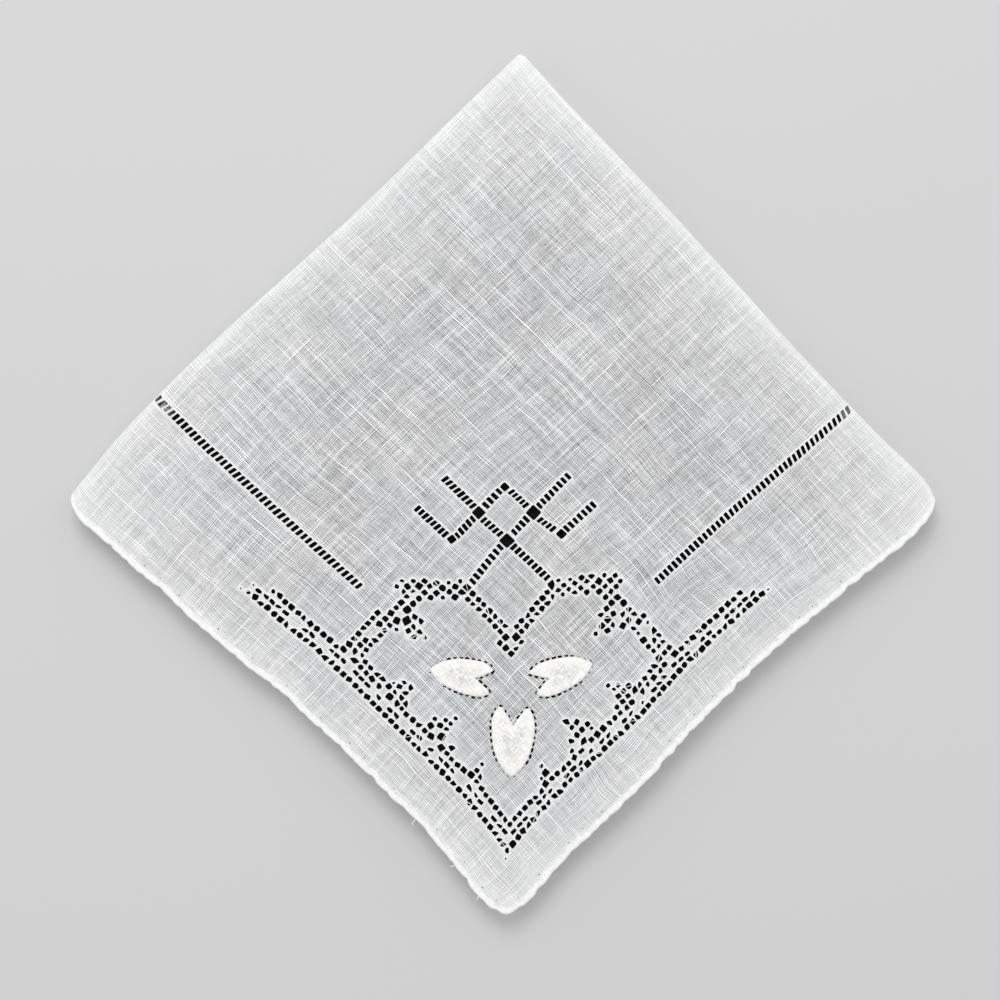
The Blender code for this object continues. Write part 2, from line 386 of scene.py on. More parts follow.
# Ends of thread that stick out of the lower-left hem, in millimetres
THREAD_END_COLUMNS = ("b", "out", "along")
THREAD_ENDS = (
    (32.6, 1.5, -1.0),
    (18.4, 0.9, 0.6),
    (9.2, 0.8, -0.4),
)

# How holes are cut and whipped
BAR = 0.25 * MM
COLLARS = (0.3 * MM, 0.75 * MM)
WHITE_REACH = (0.35 * MM, 0.8 * MM)
POINT_SPACING = 0.24 * MM
HOLE_CELL = 4 * MM
WHIPPING = 0.11 * MM
WHIPPING_SIDES = 5
NET_CORNER = (0.16 * MM, 0.42 * MM)
NET_SIZES = (0.92, 1.07)
NET_STRAY = 0.08
TURNS = {"flat": 0.15}
MOST_TURN = 0.42
RUNG_CORNER = 0.14 * MM
RUNG_SIZES = (0.94, 1.06)
RUNG_LEANS = 0.06
PULLED_IN = 0.3
PULLED_SHARE = 0.45
MOST_CUT = 0.42
LEAST_SHARE = 0.4
NET_UNEVENNESS = 0.17
RUNG_UNEVENNESS = 0.06
CROSSING_UNEVENNESS = 0.08
CROSSING_TURN = 0.1
DOT_INSETS = (0.3, 0.7)
DOT_SIZES = (0.22, 0.36)
DOT_UNEVENNESS = 0.15
WHIPPING_SIZES = (0.85, 1.2)
WHIPPING_SEAT = 0.6
WHIPPING_LIFTS = (-0.06, 0.05)
BRIDGED = 0.06
BRIDGE = 0.08 * MM
BRIDGE_SIZES = (0.8, 1.6)
BRIDGE_SPANS = (3, 4, 5)
BRIDGE_SAG = 0.12 * MM
THREAD_END = 0.1 * MM
THREAD_END_ROOT = 0.5
THREAD_END_STEPS = (0.0, 0.3, 0.6, 0.8, 1.0)

# The petals, as in the solids: half an outline, as shares along the petal and aside from its middle
PETAL_OUTLINE = (
    (0.00, 0.00),
    (0.05, 0.24),
    (0.22, 0.66),
    (0.42, 0.89),
    (0.66, 1.00),
    (0.86, 0.96),
    (1.00, 0.67),
    (0.91, 0.36),
    (0.74, 0.00),
)
PETAL_HEART = 0.45
PETALS_COLUMNS = ("a", "b", "bearing", "length", "width")
PETALS = {
    "petal_bottom": (24.4 * MM, 23.3 * MM, math.radians(42), 16.0 * MM, 10.5 * MM),
    "petal_left": (28.3 * MM, 54.4 * MM, math.radians(-56), 14.9 * MM, 8.3 * MM),
    "petal_right": (57.3 * MM, 27.9 * MM, math.radians(154), 15.2 * MM, 8.0 * MM),
}
OUTLINE_STEPS = 8
PETAL_RINGS = 9
PETAL_CLOTH = 0.3 * MM
PETAL_DOME = 0.22 * MM
PETAL_SEAT = 0.04 * MM
PETAL_RIDGE = (0.86, 0.06, 0.06 * MM)
PETAL_CROWDING = 1.6
PETAL_FULLNESS = 10
PETAL_UNDERSIDE = (0.0, 0.6, 0.97)
PETAL_FLAT = 0.95
UNEVEN_SIZE = 2 * MM
UNEVEN_RISE = 0.04 * MM
RAGGED_SIZE = 2.5 * MM
RAGGED = 0.25
TURNED_FROM = 0.3
TURNED_OVER = 0.4
PIN_PITCH = 1.5 * MM
PIN_SIZES = (0.75, 1.1)
PIN_STRAY = 0.06
PIN_CORNER = 0.16
PIN_UNEVENNESS = 0.12
PIN_TURN = 0.15
PIN_WAVER = 0.05
PIN_TIP = 0.22
PIN_TIP_SIZE = 0.45
PIN_STITCH = 0.09 * MM
PIN_LINE = ((0.25, 0.02), (0.0, 0.12), (-0.45, 0.2), (-0.8, 0.28))
PIN_HOLE = (1.0, 0.5)
PIN_OFFSET = 0.26 * MM

rng = random.Random(SEED)


def corner_rounded(a, b):
    """The place with the four corners of the square drawn in to their radii."""
    ends = {
        "bottom": (0.0, 0.0),
        "left": (0.0, FOLDED_SIDE),
        "top": (FOLDED_SIDE, FOLDED_SIDE),
        "right": (FOLDED_SIDE, 0.0),
    }
    for name, (end_a, end_b) in ends.items():
        radius = dict(zip(CORNER_COLUMNS, CORNERS[name]))["radius"]
        near_a = 1 - abs(a - end_a) / radius
        near_b = 1 - abs(b - end_b) / radius
        if near_a > 0 and near_b > 0:
            drawn_a = near_a * math.sqrt(1 - CORNER_SOFTNESS * near_b**2 / 2)
            drawn_b = near_b * math.sqrt(1 - CORNER_SOFTNESS * near_a**2 / 2)
            a = end_a + math.copysign(radius * (1 - drawn_a), FOLDED_SIDE / 2 - end_a)
            b = end_b + math.copysign(radius * (1 - drawn_b), FOLDED_SIDE / 2 - end_b)
    return a, b


def stray(edge, share):
    """How far an edge lies outside the straight line between its corners."""
    sizes = dict(zip(EDGE_COLUMNS, EDGES[edge]))
    return sum(
        sizes[name] * math.sin((crests + 1) * math.pi * share)
        for crests, name in enumerate(EDGE_COLUMNS)
    )


def bulged(a, b):
    """The place moved as the bulges and hollows of the outline near it ask."""
    shift_a = shift_b = 0.0
    for row in BULGES:
        bulge = dict(zip(BULGE_COLUMNS, row))
        distance = math.hypot(a / MM - bulge["a"], b / MM - bulge["b"])
        share = math.exp(-((distance / bulge["reach"]) ** 2))
        shift_a += share * bulge["shift_a"] * MM
        shift_b += share * bulge["shift_b"] * MM
    return a + shift_a, b + shift_b


def spot_on_plan(a, b):
    """The (x, y) of a place on the bundle, seen from above."""
    a, b = bulged(*corner_rounded(a, b))
    p, q = a / FOLDED_SIDE, b / FOLDED_SIDE
    weights = {
        "bottom": (1 - p) * (1 - q),
        "left": (1 - p) * q,
        "top": p * q,
        "right": p * (1 - q),
    }
    x = sum(weight * CORNERS[name][0] for name, weight in weights.items())
    y = sum(weight * CORNERS[name][1] for name, weight in weights.items())
    lower_left, upper_left = stray("lower_left", q), stray("upper_left", p)
    lower_right, upper_right = stray("lower_right", p), stray("upper_right", q)
    towards_right = p * upper_right + (1 - q) * lower_right - (1 - p) * lower_left - q * upper_left
    upwards = q * upper_left + p * upper_right - (1 - p) * lower_left - (1 - q) * lower_right
    return x + DIAGONAL * towards_right, y + DIAGONAL * upwards


def swell(a, b):
    """How far the top layer rises at a place because the cloth lies unevenly."""
    total = 0.0
    for row in SWELLS:
        bump = dict(zip(SWELL_COLUMNS, row))
        distance = math.hypot(a - bump["a"], b - bump["b"])
        total += bump["rise"] * math.exp(-((distance / bump["reach"]) ** 2))
    return total


def low_relief(a, b):
    """The small rises and dips of the top layer: its uneven lie, and the gathers at its hem."""
    lie = noise.noise(Vector((a / LIE_SCALE, b / LIE_SCALE, 0.0)))
    waver = noise.noise(Vector((a / LIE_SCALE, b / LIE_SCALE, 3.0)))
    gather = math.sin(2 * math.pi * a / GATHER_PITCH + 3 * waver) * math.exp(-b / GATHER_REACH)
    return LIE_RISE * lie + GATHER_RISE * gather


def hem_wave(along, inside, seed):
    """How far a hem that isn't quite straight draws in the cloth at a distance inside it."""
    wave = noise.noise(Vector((along / HEM_WAVE_PITCH, 0.0, seed)))
    return HEM_WAVE * wave * math.exp(-max(inside, 0.0) / HEM_WAVE_REACH)


def way_round(distance, nose):
    """(place, turn) at a distance along the sheet: flat from its hem, round the fold, and back."""
    past_fold = distance - FOLDED_SIDE
    share = (past_fold + nose) / (2 * nose)
    turn = math.pi * min(max(share, 0.0), 1.0)
    return FOLDED_SIDE - max(abs(past_fold), nose), turn


def folded(s, v):
    """The point of the folded sheet's middle at a place on the sheet."""
    place, turn = way_round(s, FIRST_NOSE)
    a = place + PAIR_RADIUS * math.sin(turn)
    radius = BEND_RADIUS + PAIR_RADIUS * math.cos(turn)
    place, turn = way_round(v, SECOND_NOSE)
    b = place + radius * math.sin(turn)
    height = STACK_MIDDLE - radius * math.cos(turn)
    level = (height - SHEET / 2) / (2 * STACK_REACH)
    a += HEM_STEP * (1 - level) * (1 - a / FOLDED_SIDE)
    b += HEM_STEP * (1 - level) * (1 - b / FOLDED_SIDE)
    a += level * hem_wave(b, a, 21.0)
    b += level * hem_wave(a, b, 33.0)
    near_hem = 1 - min(s, v, CLOTH_SIDE - s, CLOTH_SIDE - v) / HEM_RAMP
    if near_hem > 0:
        lowest = max(0.0, 1 - 3 * level)
        height += lowest * near_hem**2 * (3 - 2 * near_hem) * (HEM_HEIGHT - SHEET) / 2
    x, y = spot_on_plan(a, b)
    return Vector((x, y, height + level * swell(a, b) + level**2 * low_relief(a, b)))


def surface(s, v):
    """(point, along s, along v, outwards) of the folded sheet at a place on it."""
    reach = 0.02 * MM
    point = folded(s, v)
    along_s = (folded(s + reach, v) - folded(s - reach, v)).normalized()
    along_v = (folded(s, v + reach) - folded(s, v - reach)).normalized()
    return point, along_s, along_v, along_v.cross(along_s).normalized()


def on_top(a, b, lift=0.0):
    """A point at a place on the bundle, a given way above the top face of its top layer."""
    point, _, _, outwards = surface(a, CLOTH_SIDE - b)
    return point + outwards * (SHEET / 2 + lift)


def add_piece(name, lists, material, worked=()):
    """Adds a piece of the visual model, from its points, its faces and each point's place on the
    flat sheet. The material also learns how closely each point is worked, from 0 to 1."""
    points, faces, places = lists
    mesh = bpy.data.meshes.new(name)
    mesh.from_pydata(points, [], faces)
    layer = mesh.uv_layers.new(name=UV_NAME)
    for loop in mesh.loops:
        s, v = places[loop.vertex_index]
        layer.data[loop.index].uv = (s / CLOTH_SIDE, v / CLOTH_SIDE)
    mesh.validate()
    mesh.shade_smooth()
    if worked:
        attribute = mesh.attributes.new(WORKED, "FLOAT", "POINT")
        for index, value in enumerate(worked):
            attribute.data[index].value = value
    mesh.materials.append(material)
    piece = bpy.data.objects.new(name, mesh)
    bpy.context.scene.collection.objects.link(piece)
    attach(piece, "root")
    return piece


class Hole:
    """One hole in the top layer: its middle, and the offsets of the points round its edge."""

    def __init__(self, a, b, edge, whipped=True):
        self.a, self.b = a, b
        self.edge = edge
        self.whipped = whipped

    def shrink(self, share):
        self.edge = [(share * x, share * y) for x, y in self.edge]

    def reach(self):
        return max(math.hypot(x, y) for x, y in self.edge)

    def clearance(self, a, b):
        """How far a place is from the hole's edge, and less than 0 inside it."""
        x, y = a - self.a, b - self.b
        nearest = math.inf
        inside = False
        for (x0, y0), (x1, y1) in pairs(self.edge):
            along_x, along_y = x1 - x0, y1 - y0
            share = ((x - x0) * along_x + (y - y0) * along_y) / (along_x**2 + along_y**2)
            share = min(max(share, 0.0), 1.0)
            nearest = min(nearest, math.hypot(x - x0 - share * along_x, y - y0 - share * along_y))
            if (y0 > y) != (y1 > y) and x < x0 + (y - y0) / along_y * along_x:
                inside = not inside
        return -nearest if inside else nearest

    def loop(self, margin=0.0):
        """The places round the hole's edge, or round a line a margin outside it."""
        places = []
        count = len(self.edge)
        for k, (x, y) in enumerate(self.edge):
            before, after = self.edge[k - 1], self.edge[(k + 1) % count]
            along = Vector((after[0] - before[0], after[1] - before[1])).normalized()
            places.append((self.a + x + margin * along.y, self.b + y - margin * along.x))
        return places


def cut_edge(wide, tall, corner, unevenness, lean=0.0, turn=0.0, pulled=None):
    """The offsets round an opening with four uneven corners, each of them cut off."""
    corners = []
    for number, (side_x, side_y) in enumerate(((1, 1), (-1, 1), (-1, -1), (1, -1))):
        x = side_x * wide / 2 * (1 + rng.uniform(-unevenness, unevenness))
        y = side_y * tall / 2 * (1 + rng.uniform(-unevenness, unevenness))
        if number == pulled:
            x, y = PULLED_SHARE * x, PULLED_SHARE * y
        if wide < tall:
            x += lean * y
        else:
            y -= lean * x
        corners.append(Matrix.Rotation(turn, 2) @ Vector((x, y)))
    edge = []
    for before, here, after in zip(corners[-1:] + corners[:-1], corners, corners[1:] + corners[:1]):
        for other in (before, after):
            cut = min(corner, MOST_CUT * (other - here).length)
            edge.append(tuple(here + (other - here).normalized() * cut))
    return edge


def pairs(loop):
    """Each point of a closed line with the next one."""
    return zip(loop, loop[1:] + loop[:1])


def spread(a, b, end_a=0.0, end_b=0.0, count=1):
    """Evenly spaced places from one to another, or the first alone."""
    for k in range(count):
        share = k / (count - 1) if count > 1 else 0.0
        yield (a + share * (end_a - a)) * MM, (b + share * (end_b - b)) * MM


def punched_holes():
    holes = []
    for runs, turned in ((RIGHT_RUNS, False), (LEFT_RUNS, True)):
        for row in runs:
            run = dict(zip(RUN_COLUMNS, row))
            wide, tall = HOLE_SIZES[run["kind"]]
            most_turn = TURNS.get(run["kind"], MOST_TURN)
            if turned:
                wide, tall = tall, wide
            for a, b in spread(*row[1:]):
                size = rng.uniform(*NET_SIZES) * MM
                pulled = rng.randrange(4) if rng.random() < PULLED_IN else None
                edge = cut_edge(
                    wide * size,
                    tall * size,
                    corner=rng.uniform(*NET_CORNER),
                    unevenness=NET_UNEVENNESS,
                    turn=rng.uniform(-most_turn, most_turn),
                    pulled=pulled,
                )
                a += rng.uniform(-NET_STRAY, NET_STRAY) * MM
                b += rng.uniform(-NET_STRAY, NET_STRAY) * MM
                holes.append(Hole(a, b, edge))
    return holes


def ladder_holes():
    holes = []
    for row in LADDERS:
        ladder = dict(zip(LADDER_COLUMNS, row))
        across = abs(ladder["end_a"] - ladder["a"]) > abs(ladder["end_b"] - ladder["b"])
        wide, tall = RUNG_HOLE if across else reversed(RUNG_HOLE)
        for a, b in spread(*row[:5]):
            lean = ladder["lean"] + rng.uniform(-RUNG_LEANS, RUNG_LEANS)
            size = rng.uniform(*RUNG_SIZES) * MM
            edge = cut_edge(wide * size, tall * size, RUNG_CORNER, RUNG_UNEVENNESS, lean=lean)
            holes.append(Hole(a, b, edge))
    for row in CROSSINGS:
        crossing = dict(zip(CROSSING_COLUMNS, row))
        side = crossing["side"] * MM
        turn = rng.uniform(-CROSSING_TURN, CROSSING_TURN)
        edge = cut_edge(side, side, 2 * RUNG_CORNER, CROSSING_UNEVENNESS, turn=turn)
        holes.append(Hole(crossing["a"] * MM, crossing["b"] * MM, edge))
    return holes


def keep_bars(holes):
    """Shrinks holes that would leave less than a bar of cloth between them."""
    for first_index, first in enumerate(holes):
        for second in holes[first_index + 1:]:
            apart = math.hypot(second.a - first.a, second.b - first.b)
            if apart - first.reach() - second.reach() > BAR:
                continue
            gap = min(
                [second.clearance(*place) for place in first.loop()]
                + [first.clearance(*place) for place in second.loop()]
            )
            if gap < BAR:
                share = max(1 - (BAR - gap) / (apart - gap), LEAST_SHARE)
                first.shrink(share)
                second.shrink(share)


def smooth_through(points, steps):
    """Points on a smooth curve through all the given ones, with that many steps to each stretch."""
    extended = [points[0], *points, points[-1]]
    curve = []
    for before, start, end, after in zip(extended, extended[1:], extended[2:], extended[3:]):
        for k in range(steps):
            t = k / steps
            curve.append(
                tuple(
                    s + t * (e - o) / 2 + t**2 * (o - 2.5 * s + 2 * e - f / 2)
                    + t**3 * (1.5 * (s - e) + (f - o) / 2)
                    for o, s, e, f in zip(before, start, end, after)
                )
            )
    return curve + [points[-1]]


def petal_shape(name):
    """(sizes, closed outline) of a petal, from its tip round to its tip, x along it and y aside."""
    sizes = dict(zip(PETALS_COLUMNS, PETALS[name]))
    half = smooth_through(PETAL_OUTLINE, OUTLINE_STEPS)
    side = [(sizes["length"] * along, sizes["width"] / 2 * aside) for along, aside in half]
    return sizes, side + [(x, -y) for x, y in reversed(side[1:-1])]


def petal_place(sizes, x, y):
    """The place on the bundle of a point on a petal, x along it and y aside."""
    along = (math.cos(sizes["bearing"]), math.sin(sizes["bearing"]))
    a = sizes["a"] + x * along[0] - y * along[1]
    b = sizes["b"] + x * along[1] + y * along[0]
    return a, b


def round_outline(outline, pitch, offset):
    """(place, bearing) at even steps along a closed outline, moved outwards by an offset."""
    total = sum(math.dist(p, q) for p, q in pairs(outline))
    count = round(total / pitch)
    step = total / count
    spots = []
    walked, due = 0.0, step / 2
    for (x0, y0), (x1, y1) in pairs(outline):
        length = math.dist((x0, y0), (x1, y1))
        while due < walked + length:
            share = (due - walked) / length
            bearing = math.atan2(y1 - y0, x1 - x0)
            x = x0 + share * (x1 - x0) - offset * math.sin(bearing)
            y = y0 + share * (y1 - y0) + offset * math.cos(bearing)
            spots.append((x, y, bearing))
            due += step
        walked += length
    return spots


def pin_holes():
    """The small holes of the pin stitch round the petals, finer at their tips."""
    holes = []
    for name in PETALS:
        sizes, outline = petal_shape(name)
        for x, y, bearing in round_outline(outline, PIN_PITCH, PIN_OFFSET):
            fineness = PIN_TIP_SIZE if x / sizes["length"] < PIN_TIP else 1.0
            size = rng.uniform(*PIN_SIZES) * fineness * MM
            edge = cut_edge(
                PIN_HOLE[0] * size,
                PIN_HOLE[1] * size,
                corner=PIN_CORNER * size,
                unevenness=PIN_UNEVENNESS,
                turn=bearing + sizes["bearing"] + rng.uniform(-PIN_TURN, PIN_TURN),
            )
            a, b = petal_place(sizes, x, y)
            a += rng.uniform(-PIN_STRAY, PIN_STRAY) * MM
            b += rng.uniform(-PIN_STRAY, PIN_STRAY) * MM
            holes.append(Hole(a, b, edge, whipped=False))
    return holes


def hem_dots():
    """Small needle holes inside the hem of the top layer."""
    holes = []
    for turned in (False, True):
        along = rng.uniform(*DOT_PITCH)
        while along < FOLDED_SIDE - DOT_PITCH[1]:
            inset = HEM_WIDTH + rng.uniform(*DOT_INSETS) * MM
            size = rng.uniform(*DOT_SIZES) * MM
            edge = cut_edge(size, size, size / 4, DOT_UNEVENNESS)
            a, b = (along, inset) if turned else (inset, along)
            holes.append(Hole(a, b, edge, whipped=False))
            along += rng.uniform(*DOT_PITCH)
    return holes


class Cells:
    """Things kept by their places in square cells, which tells what is near a place."""

    def __init__(self, side):
        self.side = side
        self.cells = {}

    def key(self, x, y):
        return int(x // self.side), int(y // self.side)

    def add(self, x, y, thing):
        self.cells.setdefault(self.key(x, y), []).append(thing)

    def near(self, x, y):
        column, row = self.key(x, y)
        for i in (column - 1, column, column + 1):
            for j in (row - 1, row, row + 1):
                yield from self.cells.get((i, j), ())


def grid_lines(nose, fold_rows, first_step, second_step):
    """Distances along the sheet: flat to a fold, round it, and flat to the far hem."""
    start = HEM_WIDTH / 2
    lines = []
    for low, high, step in (
        (start, FOLDED_SIDE - nose, first_step),
        (FOLDED_SIDE + nose, CLOTH_SIDE - start, second_step),
    ):
        count = math.ceil((high - low) / step)
        lines += [low + (high - low) * k / count for k in range(count + 1)]
    lines += [start + step for step in EDGE_STEPS if step < first_step]
    lines += [CLOTH_SIDE - start - step for step in EDGE_STEPS if step < second_step]
    lines += [
        FOLDED_SIDE - nose + 2 * nose * k / fold_rows
        for k in range(1, fold_rows)
    ]
    return sorted(lines)


def sheet_layout(holes):
    """(places, triangles, worked) of the flat sheet with its holes cut out."""
    places, owners, edges, worked = [], [], [], []
    crowd, hole_cells = Cells(2 * POINT_SPACING), Cells(HOLE_CELL)

    def add(s, v, owner, work):
        places.append((s, v))
        owners.append(owner)
        worked.append(work)
        crowd.add(s, v, (s, v))

    for number, hole in enumerate(holes):
        first = len(places)
        loop = hole.loop()
        for a, b in loop:
            add(a, CLOTH_SIDE - b, number, 1.0 if hole.whipped else 0.0)
        edges += [(first + k, first + (k + 1) % len(loop)) for k in range(len(loop))]
        hole_cells.add(hole.a, hole.b, (hole, hole.reach() + WHITE_REACH[1]))

    def whiteness(a, b):
        """How white the work on the holes makes a place, or None where a hole is too near."""
        nearest = WHITE_REACH[1]
        for hole, far in hole_cells.near(a, b):
            if math.hypot(a - hole.a, b - hole.b) > far:
                continue
            clearance = hole.clearance(a, b)
            if clearance < BAR / 3:
                return None
            if hole.whipped:
                nearest = min(nearest, clearance)
        return min(1.0, (WHITE_REACH[1] - nearest) / (WHITE_REACH[1] - WHITE_REACH[0]))

    def add_free(s, v):
        if any(math.dist((s, v), other) < POINT_SPACING for other in crowd.near(s, v)):
            return
        white = whiteness(s, CLOTH_SIDE - v)
        if white is not None:
            add(s, v, -1, white)

    for margin in COLLARS:
        for hole in holes:
            for a, b in hole.loop(margin):
                add_free(a, CLOTH_SIDE - b)
    for s in grid_lines(FIRST_NOSE, FIRST_FOLD_ROWS, SEEN_STEP, HIDDEN_STEP):
        for v in grid_lines(SECOND_NOSE, SECOND_FOLD_ROWS, HIDDEN_STEP, SEEN_STEP):
            add_free(s, v)
    result = delaunay_2d_cdt([Vector(place) for place in places], edges, [], 0, 1e-7)
    points, _, faces, sources = result[:4]
    owner_of = [owners[source[0]] if source else -1 for source in sources]
    work_of = [worked[source[0]] if source else 0.0 for source in sources]
    kept = [
        face for face in faces
        if owner_of[face[0]] < 0 or len({owner_of[corner] for corner in face}) > 1
    ]
    return [tuple(point) for point in points], kept, work_of


def give_thickness(piece, thickness):
    """Turns a surface into a closed sheet, with crisp edges where it is cut."""
    solidify = piece.modifiers.new("Thickness", "SOLIDIFY")
    solidify.thickness = thickness
    solidify.offset = 0.0
    graph = bpy.context.evaluated_depsgraph_get()
    solid = bpy.data.meshes.new_from_object(
        piece.evaluated_get(graph), preserve_all_data_layers=True, depsgraph=graph
    )
    piece.modifiers.clear()
    piece.data = solid
    solid.set_sharp_from_angle(angle=math.radians(40))


def linen_square(holes, material):
    """The whole sheet, folded twice, with its openwork."""
    places, faces, worked = sheet_layout(holes)
    points = [folded(s, v) for s, v in places]
    piece = add_piece("linen_square", (points, faces, places), material, worked)
    give_thickness(piece, SHEET)
    return piece


def tube_rings(rings, closed, points, faces, places, spots):
    """Adds a tube through rings of points to a mesh's lists, with each point's place on the sheet.
    An open tube gets flat ends."""
    base = len(points)
    sides = len(rings[0])
    for ring, ring_spots in zip(rings, spots):
        points += ring
        places += ring_spots
    count = len(rings)
    for k in range(count if closed else count - 1):
        low, high = base + k * sides, base + (k + 1) % count * sides
        for j in range(sides):
            faces.append((low + j, low + (j + 1) % sides, high + (j + 1) % sides, high + j))
    if not closed:
        faces.append(tuple(base + j for j in reversed(range(sides))))
        faces.append(tuple(base + (count - 1) * sides + j for j in range(sides)))


def thread(line, radius, sides, lists, spots, closed=False):
    """Adds a round thread along a line of points to a mesh's lists."""
    rings = []
    count = len(line)
    for k, point in enumerate(line):
        before = line[k - 1] if closed or k else point
        after = line[(k + 1) % count] if closed or k < count - 1 else point
        ahead = (after - before).normalized()
        aside = ahead.cross(Vector((0, 0, 1)))
        if aside.length < 0.1:
            aside = Vector((1, 0, 0))
        aside.normalize()
        up = aside.cross(ahead)
        rings.append([
            point + radius * (math.cos(angle) * aside + math.sin(angle) * up)
            for angle in (2 * math.pi * j / sides for j in range(sides))
        ])
    tube_rings(rings, closed, *lists, [[spot] * sides for spot in spots])


def whipping(punched, ladders, material):
    """The thread worked round the edge of every hole, and the odd thread left across one."""
    lists = ([], [], [])
    for hole in punched + ladders:
        radius = WHIPPING * rng.uniform(*WHIPPING_SIZES)
        loop = hole.loop(WHIPPING_SEAT * radius)
        line = [on_top(a, b, rng.uniform(*WHIPPING_LIFTS) * MM) for a, b in loop]
        spots = [(a, CLOTH_SIDE - b) for a, b in loop]
        thread(line, radius, WHIPPING_SIDES, lists, spots, closed=True)
        if hole in punched and rng.random() < BRIDGED:
            first = rng.randrange(len(line))
            last = (first + rng.choice(BRIDGE_SPANS)) % len(line)
            middle = line[first].lerp(line[last], 0.5) + Vector((0, 0, -BRIDGE_SAG))
            bridge = [line[first], middle, line[last]]
            radius = BRIDGE * rng.uniform(*BRIDGE_SIZES)
            thread(bridge, radius, WHIPPING_SIDES, lists, [spots[first]] * 3)
    return add_piece("whipping", lists, material)


def hem_path():
    """(s, v, inward s, inward v) along the middle of the hem, round the whole sheet."""
    inset = HEM_WIDTH / 2
    start = inset + HEM_TURN
    inner = CLOTH_SIDE - 2 * inset - 2 * HEM_TURN
    end = start + inner
    path = []

    def add(corner, bearing, walked):
        out_s, out_v = math.cos(bearing), math.sin(bearing)
        s = corner[0] + HEM_TURN * out_s - walked * out_v
        v = corner[1] + HEM_TURN * out_v + walked * out_s
        path.append((s, v, -out_s, -out_v))

    for side, corner in enumerate(((start, start), (end, start), (end, end), (start, end))):
        angle = math.pi * (side / 2 + 1)
        for k in range(5):
            add(corner, angle + math.pi / 2 * k / 4, 0.0)
        walked = 0.0
        while True:
            step = HEM_STEPS[abs(start + walked - FOLDED_SIDE) >= HEM_FINE_REACH]
            walked += step
            if walked > inner - 0.5 * step:
                break
            add(corner, angle + math.pi / 2, walked)
    return path


def rolled_hem(material):
    """The hand-rolled hem, a soft tube along the sheet's whole edge, drawn in at its stitches."""
    path = hem_path()
    rings, spots, pulls, distances = [], [], [], []
    walked, due = 0.0, STITCH_PITCH
    for before, row in zip(path[-1:] + path, path):
        walked += math.dist(row[:2], before[:2])
        distances.append(walked)
    while due < walked:
        pulls.append(due)
        due += STITCH_PITCH * rng.uniform(*STITCH_SPREAD)
    for (s, v, in_s, in_v), distance in zip(path, distances):
        point, along_s, along_v, outwards = surface(s, v)
        inwards = (in_s * along_s + in_v * along_v).normalized()
        pull = max(math.exp(-(((distance - spot) / STITCH_REACH) ** 2)) for spot in pulls)
        waver = noise.noise(Vector((distance / WAVER_PITCH, 0.0, 5.0)))
        plump = noise.noise(Vector((distance / PLUMP_PITCH, 0.0, 9.0)))
        half_width = HEM_WIDTH / 2 * (1 + PLUMP[0] * plump - STITCH_PULLS[0] * pull)
        half_height = HEM_HEIGHT / 2 * (1 - PLUMP[1] * abs(plump) - STITCH_PULLS[1] * pull)
        middle = point + inwards * (WAVER * waver + STITCH_PULLS[2] * pull)
        ring, ring_spots = [], []
        for j in range(HEM_SIDES):
            angle = 2 * math.pi * j / HEM_SIDES
            inside = half_width * math.cos(angle)
            flattened = 1 - HEM_TAPER * ((1 + math.cos(angle)) / 2) ** 2
            rise = half_height * flattened * math.sin(angle)
            ring.append(middle + inside * inwards + rise * outwards)
            ring_spots.append((s + inside * in_s, v + inside * in_v))
        rings.append(ring)
        spots.append(ring_spots)
    lists = ([], [], [])
    tube_rings(rings, True, *lists, spots)
    for row in THREAD_ENDS:
        end = dict(zip(THREAD_END_COLUMNS, row))
        line, spots = [], []
        for share in THREAD_END_STEPS:
            reach = (end["out"] + THREAD_END_ROOT) * math.sin(2 * share)
            s = (THREAD_END_ROOT - reach) * MM
            v = CLOTH_SIDE - (end["b"] + end["along"] * share**2) * MM
            line.append(folded(s, v))
            spots.append((s, v))
        thread(line, THREAD_END, WHIPPING_SIDES, lists, spots)
    return add_piece("rolled_hem", lists, material)


